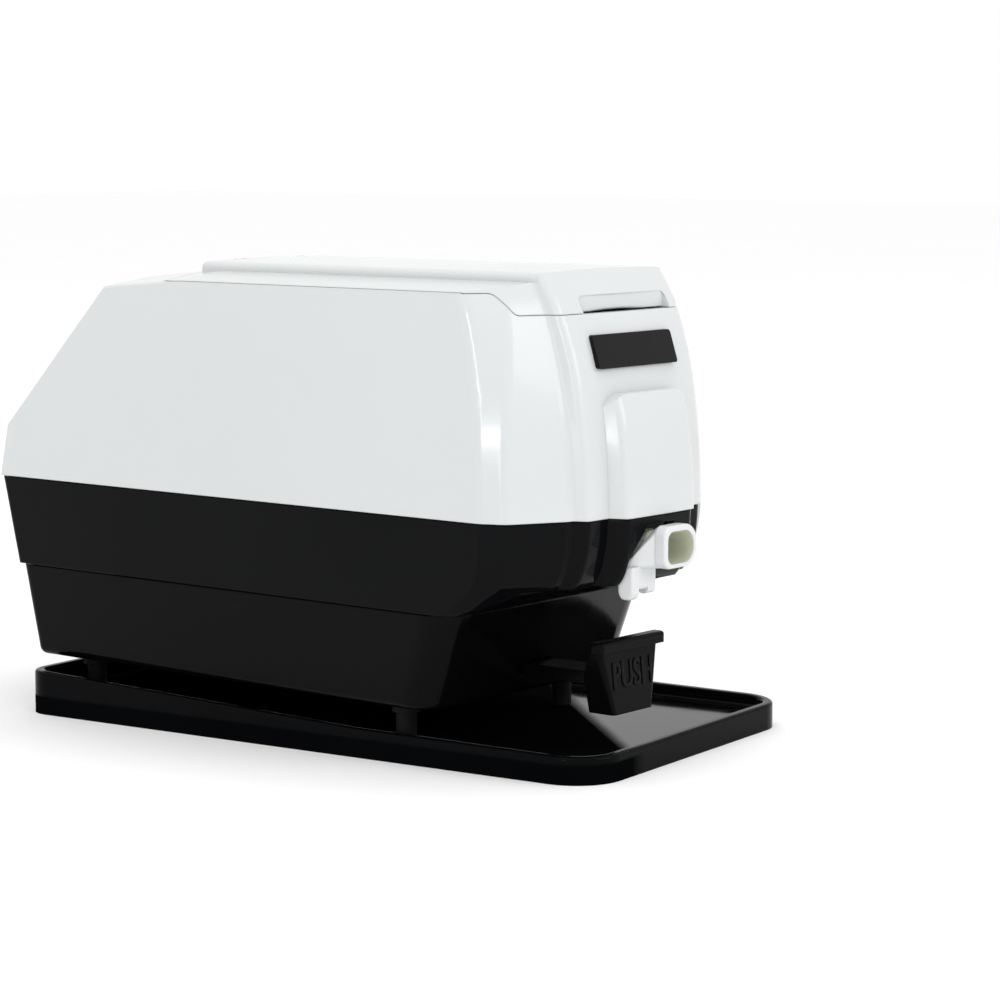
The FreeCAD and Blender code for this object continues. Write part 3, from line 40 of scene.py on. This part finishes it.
# ------------------------------------------------------------------ materials
class Mat:
    """Small helper round one node tree."""

    def __init__(self, name):
        self.m = bpy.data.materials.new(name)
        self.m.use_nodes = True
        self.t = self.m.node_tree
        self.t.nodes.clear()
        self.out = self.n("ShaderNodeOutputMaterial")
        self.p = self.n("ShaderNodeBsdfPrincipled")
        self.l(self.p.outputs[0], self.out.inputs[0])
        self.tc = self.n("ShaderNodeTexCoord")

    def n(self, kind, **props):
        node = self.t.nodes.new(kind)
        for k, v in props.items():
            setattr(node, k, v)
        return node

    def l(self, a, b):
        self.t.links.new(a, b)

    def noise(self, scale, detail=3.0, rough=0.5, stretch=None, distortion=0.0):
        node = self.n("ShaderNodeTexNoise")
        node.inputs["Scale"].default_value = scale
        node.inputs["Detail"].default_value = detail
        node.inputs["Roughness"].default_value = rough
        node.inputs["Distortion"].default_value = distortion
        src = self.tc.outputs["Object"]
        if stretch:
            mp = self.n("ShaderNodeMapping")
            mp.inputs["Scale"].default_value = stretch
            self.l(src, mp.inputs[0])
            src = mp.outputs[0]
        self.l(src, node.inputs["Vector"])
        return node.outputs["Fac"]

    def remap(self, src, lo, hi, a, b):
        node = self.n("ShaderNodeMapRange")
        node.inputs["From Min"].default_value = lo
        node.inputs["From Max"].default_value = hi
        node.inputs["To Min"].default_value = a
        node.inputs["To Max"].default_value = b
        self.l(src, node.inputs["Value"])
        return node.outputs["Result"]

    def mix(self, fac, a, b):
        node = self.n("ShaderNodeMix", data_type="RGBA")
        self.l(fac, node.inputs[0])
        node.inputs[6].default_value = (*a, 1.0)
        if isinstance(b, tuple):
            node.inputs[7].default_value = (*b, 1.0)
        else:
            self.l(b, node.inputs[7])
        return node.outputs[2]

    def add(self, a, b, wa=1.0, wb=1.0):
        ma = self.n("ShaderNodeMath", operation="MULTIPLY")
        ma.inputs[1].default_value = wa
        self.l(a, ma.inputs[0])
        mb = self.n("ShaderNodeMath", operation="MULTIPLY_ADD")
        mb.inputs[1].default_value = wb
        self.l(b, mb.inputs[0])
        self.l(ma.outputs[0], mb.inputs[2])
        return mb.outputs[0]

    def within(self, box, soft=0.00012):
        """1 inside a box given in object coordinates, 0 outside, with a short soft edge."""
        sep = self.n("ShaderNodeSeparateXYZ")
        self.l(self.tc.outputs["Object"], sep.inputs[0])
        out = None
        for axis in range(3):
            lo, hi = box[axis]
            for edge_at, sign in ((lo, 1.0), (hi, -1.0)):
                r = self.remap(sep.outputs[axis], edge_at - soft * sign, edge_at + soft * sign, 0.0, 1.0)
                if out is None:
                    out = r
                else:
                    mu = self.n("ShaderNodeMath", operation="MULTIPLY")
                    self.l(out, mu.inputs[0])
                    self.l(r, mu.inputs[1])
                    out = mu.outputs[0]
        return out

    def recolour(self, col, fac, shade_and_tint):
        node = self.n("ShaderNodeMix", data_type="RGBA")
        self.l(fac, node.inputs[0])
        self.l(col, node.inputs[6])
        node.inputs[7].default_value = (*shade_and_tint, 1.0)
        return node.outputs[2]

    def bump(self, height, dist, strength=1.0, edge=0.0):
        node = self.n("ShaderNodeBump")
        node.inputs["Strength"].default_value = strength
        node.inputs["Distance"].default_value = dist
        self.l(height, node.inputs["Height"])
        if edge > 0.0:
            bv = self.n("ShaderNodeBevel", samples=6)
            bv.inputs["Radius"].default_value = edge
            self.l(bv.outputs[0], node.inputs["Normal"])
        self.l(node.outputs[0], self.p.inputs["Normal"])
        return node


def moulded(name, base, shade, rough=(0.12, 0.2), grain=0.00003, grain_scale=900.0, edge=0.0004, coat=0.0,
            coat_rough=0.05, smudge=3.0, ior=1.5, waviness=0.0, gloss=0.5, inside=None, polished_nose=None):
    """Injection-moulded plastic: faint tone drift, handled patches in the gloss, orange-peel grain."""
    m = Mat(name)
    drift = m.noise(9.0, 4.0, 0.55)
    col = m.mix(m.remap(drift, 0.35, 0.7, 0.0, 1.0), base, shade)
    # painted shade: inside the given box (the spout mouth) the colour is swapped for a darker greenish grey, partly
    # painted shade in the mouth and partly a slight greenish tint
    if inside is not None:
        box, shade_and_tint = inside
        col = m.recolour(col, m.within(box), shade_and_tint)
    m.l(col, m.p.inputs["Base Color"])
    m.p.inputs["Specular IOR Level"].default_value = gloss
    if polished_nose is not None:
        box, nose_gloss = polished_nose
        m.l(m.remap(m.within(box, 0.004), 0.0, 1.0, gloss, nose_gloss), m.p.inputs["Specular IOR Level"])
    patches = m.noise(smudge * 10.0, 5.0, 0.6, distortion=0.6)
    m.l(m.remap(patches, 0.35, 0.72, rough[0], rough[1]), m.p.inputs["Roughness"])
    fine = m.noise(grain_scale, 2.0, 0.5)
    if waviness > 0.0:
        broad = m.noise(22.0, 1.0, 0.4)
        h = m.add(fine, broad, grain / 0.001, waviness / 0.001)
        m.bump(h, 0.001, 1.0, edge)
    else:
        m.bump(fine, grain, 1.0, edge)
    m.p.inputs["IOR"].default_value = ior
    m.p.inputs["Coat Weight"].default_value = coat
    m.p.inputs["Coat Roughness"].default_value = coat_rough
    return m.m


def metal(name, base, shade, rough=(0.25, 0.4), brushed=None, edge=0.0002):
    m = Mat(name)
    drift = m.noise(30.0, 4.0, 0.6)
    m.l(m.mix(m.remap(drift, 0.3, 0.7, 0.0, 1.0), base, shade), m.p.inputs["Base Color"])
    m.p.inputs["Metallic"].default_value = 1.0
    streak = m.noise(160.0, 3.0, 0.6, stretch=brushed or (1.0, 1.0, 1.0))
    m.l(m.remap(streak, 0.3, 0.7, rough[0], rough[1]), m.p.inputs["Roughness"])
    m.bump(streak, 0.00003, 0.8, edge)
    return m.m


WHITE = moulded("white_gloss_plastic", (0.59, 0.608, 0.608), (0.576, 0.594, 0.594), (0.15, 0.23), 0.000012, 700.0,
                0.0006, coat=0.2, coat_rough=0.06, waviness=0.00002)
SPOUT = moulded("spout_plastic", (0.65, 0.665, 0.67), (0.63, 0.645, 0.65), (0.2, 0.3), 0.00001, 700.0,
                0.0005, waviness=0.00001,
                # the box is the inside of the spout mouth: its darker greenish grey is painted shade with a slight
                # greenish tint
                inside=(((-0.00625, 0.00622), (-0.1322, -0.1190), (0.05746, 0.06656)), (0.55, 0.57, 0.455)))
BLACK = moulded("black_gloss_plastic", (0.0022, 0.0024, 0.0028), (0.0034, 0.0036, 0.0042), (0.07, 0.15), 0.000012, 800.0,
                0.0006, waviness=0.00002, gloss=0.062)
TUB = moulded("tub_black_plastic", (0.0014, 0.0015, 0.0018), (0.0022, 0.0024, 0.0028), (0.08, 0.16), 0.000012, 800.0,
              0.0006, waviness=0.00002, gloss=0.062,
              polished_nose=(((-0.002, 0.06), (-0.2, -0.0795), (-0.01, 0.06)), 0.2))
PADDLE = moulded("paddle_black_plastic", (0.0018, 0.002, 0.0022), (0.003, 0.0032, 0.0038), (0.14, 0.26), 0.00002, 900.0,
                 0.0006, waviness=0.00002, gloss=0.045)
LABEL = moulded("label_black", (0.003, 0.003, 0.0034), (0.005, 0.005, 0.0055), (0.3, 0.42), 0.00002, 1500.0,
                0.0002, smudge=6.0, gloss=0.12)


def tray_material():
    """Gloss black, with the floor a little duller than the rim and the walls where the machine stands."""
    m = Mat("tray_black_plastic")
    drift = m.noise(9.0, 4.0, 0.55)
    m.l(m.mix(m.remap(drift, 0.35, 0.7, 0.0, 1.0), (0.0018, 0.002, 0.0023), (0.003, 0.0032, 0.0038)), m.p.inputs["Base Color"])
    patches = m.noise(50.0, 5.0, 0.6, distortion=0.6)
    fine = m.noise(700.0, 2.0, 0.5)
    broad = m.noise(22.0, 1.0, 0.4)
    m.bump(m.add(fine, broad, 0.008, 0.02), 0.001, 1.0, 0.0006)
    # where the machine stands the floor reflects less than the rim, which hands and cloths keep polished
    floor_zone = m.within(((-0.2, 0.2), (-0.2, 0.2), (-0.01, 0.0056)), 0.0004)
    # where the machine always stands nothing wipes it: the film there is quite dull
    sep = m.n("ShaderNodeSeparateXYZ")
    m.l(m.tc.outputs["Object"], sep.inputs[0])
    stand = m.remap(m.add(sep.outputs[0], sep.outputs[1], 0.759, -0.651), 0.0715, 0.0762, 1.0, 0.0)
    dull = m.n("ShaderNodeMath", operation="MULTIPLY")
    m.l(floor_zone, dull.inputs[0])
    m.l(stand, dull.inputs[1])
    polished = m.remap(patches, 0.35, 0.72, 0.07, 0.13)
    m.l(m.add(polished, dull.outputs[0], 1.0, 0.45), m.p.inputs["Roughness"])
    # the floor itself, facing up, is a little glossier than the walls and the rim
    nrm = m.n("ShaderNodeSeparateXYZ")
    m.l(m.tc.outputs["Normal"], nrm.inputs[0])
    facing_up = m.n("ShaderNodeMath", operation="MULTIPLY")
    m.l(m.remap(nrm.outputs[2], 0.6, 0.9, 0.0, 1.0), facing_up.inputs[0])
    m.l(floor_zone, facing_up.inputs[1])
    level = m.remap(facing_up.outputs[0], 0.0, 1.0, 0.035, 0.065)
    off = m.remap(dull.outputs[0], 0.0, 1.0, 1.0, 0.0)
    both = m.n("ShaderNodeMath", operation="MULTIPLY")
    m.l(level, both.inputs[0])
    m.l(off, both.inputs[1])
    m.l(both.outputs[0], m.p.inputs["Specular IOR Level"])
    return m.m


TRAY = tray_material()
MATTE = moulded("matte_black_plastic", (0.018, 0.018, 0.019), (0.026, 0.026, 0.027), (0.45, 0.6), 0.00006, 1100.0, 0.0003)
RUBBER = moulded("black_rubber", (0.003, 0.003, 0.0032), (0.005, 0.005, 0.0055), (0.55, 0.75), 0.00005, 900.0, 0.0003, gloss=0.1)
GREY = moulded("grey_nylon", (0.42, 0.43, 0.44), (0.36, 0.37, 0.38), (0.35, 0.5), 0.00004, 900.0, 0.0003)
NATURAL = moulded("natural_nylon", (0.72, 0.69, 0.60), (0.64, 0.61, 0.52), (0.3, 0.45), 0.00004, 900.0, 0.0003)
HOSE = moulded("silicone_hose", (0.66, 0.66, 0.62), (0.56, 0.56, 0.52), (0.3, 0.5), 0.00003, 500.0, 0.0)
WRAP = moulded("coil_wrap", (0.55, 0.40, 0.10), (0.42, 0.30, 0.07), (0.3, 0.5), 0.0001, 350.0, 0.0003)
STEEL = metal("bright_steel", (0.60, 0.61, 0.62), (0.50, 0.51, 0.52))
LAMS = metal("laminated_steel", (0.30, 0.31, 0.32), (0.22, 0.225, 0.23), (0.35, 0.5), (0.1, 6.0, 0.1))
SCREW = metal("zinc_screw", (0.66, 0.66, 0.65), (0.5, 0.5, 0.49), (0.2, 0.35))
BRASS = metal("brass", (0.70, 0.50, 0.20), (0.55, 0.38, 0.14), (0.22, 0.38))
ALU = metal("cast_aluminium", (0.68, 0.69, 0.70), (0.58, 0.59, 0.60), (0.35, 0.5))
BAND = metal("mica_band", (0.46, 0.45, 0.42), (0.36, 0.34, 0.30), (0.35, 0.55), (1.0, 0.1, 1.0))

BY_SLOT = {"white_gloss": WHITE, "black_gloss": BLACK, "black_matte": MATTE, "black_rubber": RUBBER,
           "grey_plastic": GREY, "natural_plastic": NATURAL, "steel": STEEL, "laminated_steel": LAMS,
           "zinc_screw": SCREW, "brass": BRASS, "aluminium": ALU, "coil_wrap": WRAP, "silicone_hose": HOSE,
           "mica_band": BAND}
SLOT_OF = {s["node"]: s["material_slot"] for s in frame["record"]["subparts"]}
OWN = {"drip_tray": TRAY, "spout": SPOUT, "spout_bracket": SPOUT, "label_plate": LABEL, "bottom_tub": TUB,
       "push_paddle": PADDLE, "paddle_arm": PADDLE}
for name, obj in NODES.items():
    mat = OWN.get(name) or BY_SLOT[SLOT_OF[name]]
    if not obj.material_slots:
        obj.data.materials.append(mat)
    for s in obj.material_slots:
        s.material = mat

# ------------------------------------------------------------------ word on the paddle
# plain sans letters standing a little proud of the push face
txt = bpy.data.curves.new("push_word", "FONT")
txt.body = "PUSH"
txt.align_x = "CENTER"
txt.align_y = "CENTER"
txt.size = 0.0108
txt.extrude = 0.0003
txt.offset = 0.00012
txt.space_character = 1.02
tmp = bpy.data.objects.new("push_word_curve", txt)
bpy.context.scene.collection.objects.link(tmp)
bpy.context.view_layer.update()
word_mesh = bpy.data.meshes.new_from_object(tmp.evaluated_get(bpy.context.evaluated_depsgraph_get()))
bpy.data.objects.remove(tmp)
word = bpy.data.objects.new("paddle_word", word_mesh)
bpy.context.scene.collection.objects.link(word)
word.rotation_euler = (math.radians(90.0) - math.atan2(1.7, 18.1), 0.0, 0.0)
word.scale = (0.72, 1.0, 1.0)
word.location = (0.0005, -0.11572, 0.0249)
WORD = moulded("paddle_word_plastic", (0.003, 0.0032, 0.0036), (0.0045, 0.0047, 0.0052), (0.2, 0.32), 0.00002, 900.0, 0.0003,
               gloss=0.05)
word_mesh.materials.clear()
word_mesh.materials.append(WORD)
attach(word, "paddle")

# ------------------------------------------------------------------ stage
mesh = bpy.data.meshes.new("floor")
S = 6.0
mesh.from_pydata([(-S, -S, 0), (S, -S, 0), (S, S, 0), (-S, S, 0)], [], [(0, 1, 2, 3)])
floor = bpy.data.objects.new("floor", mesh)
bpy.context.scene.collection.objects.link(floor)
fm = Mat("pale_floor")
fm.l(fm.mix(fm.remap(fm.noise(3.0, 2.0), 0.4, 0.6, 0, 1), (0.985, 0.985, 0.985), (0.98, 0.98, 0.98)),
     fm.p.inputs["Base Color"])
fm.p.inputs["Roughness"].default_value = 0.8
fm.p.inputs["Specular IOR Level"].default_value = 0.1
floor.data.materials.append(fm.m)


def area(name, loc, target, size, power, color=(1, 1, 1)):
    d = bpy.data.lights.new(name, "AREA")
    d.shape = "RECTANGLE"
    d.size, d.size_y = size
    d.energy = power
    d.color = color
    o = bpy.data.objects.new(name, d)
    o.location = loc
    v = Vector(target) - Vector(loc)
    o.rotation_euler = v.to_track_quat("-Z", "Y").to_euler()
    bpy.context.scene.collection.objects.link(o)
    return o


C = (0.0, -0.02, 0.07)
area("top_soft", (0.0, -0.1, 1.3), C, (1.3, 1.3), 3.0)
area("key_left", (-1.05, -0.25, 1.15), C, (1.0, 1.0), 2.0)
area("front_soft", (0.35, -1.3, 0.70), C, (0.9, 0.7), 4.2)
area("corner_strip", (-1.25, -0.33, 0.26), (0.0, -0.09, 0.1), (0.08, 0.34), 1.2)

world = bpy.data.worlds.new("studio")
bpy.context.scene.world = world
world.use_nodes = True
bg = world.node_tree.nodes["Background"]
bg.inputs[0].default_value = (1.0, 1.0, 1.0, 1.0)
bg.inputs[1].default_value = 1.0
bpy.context.scene.view_settings.view_transform = "Standard"

# ------------------------------------------------------------------ camera
cam = bpy.data.cameras.new("camera")
cam.lens = 108.94
cam.sensor_width = 36.0
cam.clip_start = 0.01
co = bpy.data.objects.new("camera", cam)
co.location = (-0.66993, -0.60574, 0.17396)
co.rotation_euler = (math.radians(83.1), 0.0, math.radians(-51.3))
bpy.context.scene.collection.objects.link(co)
bpy.context.scene.camera = co
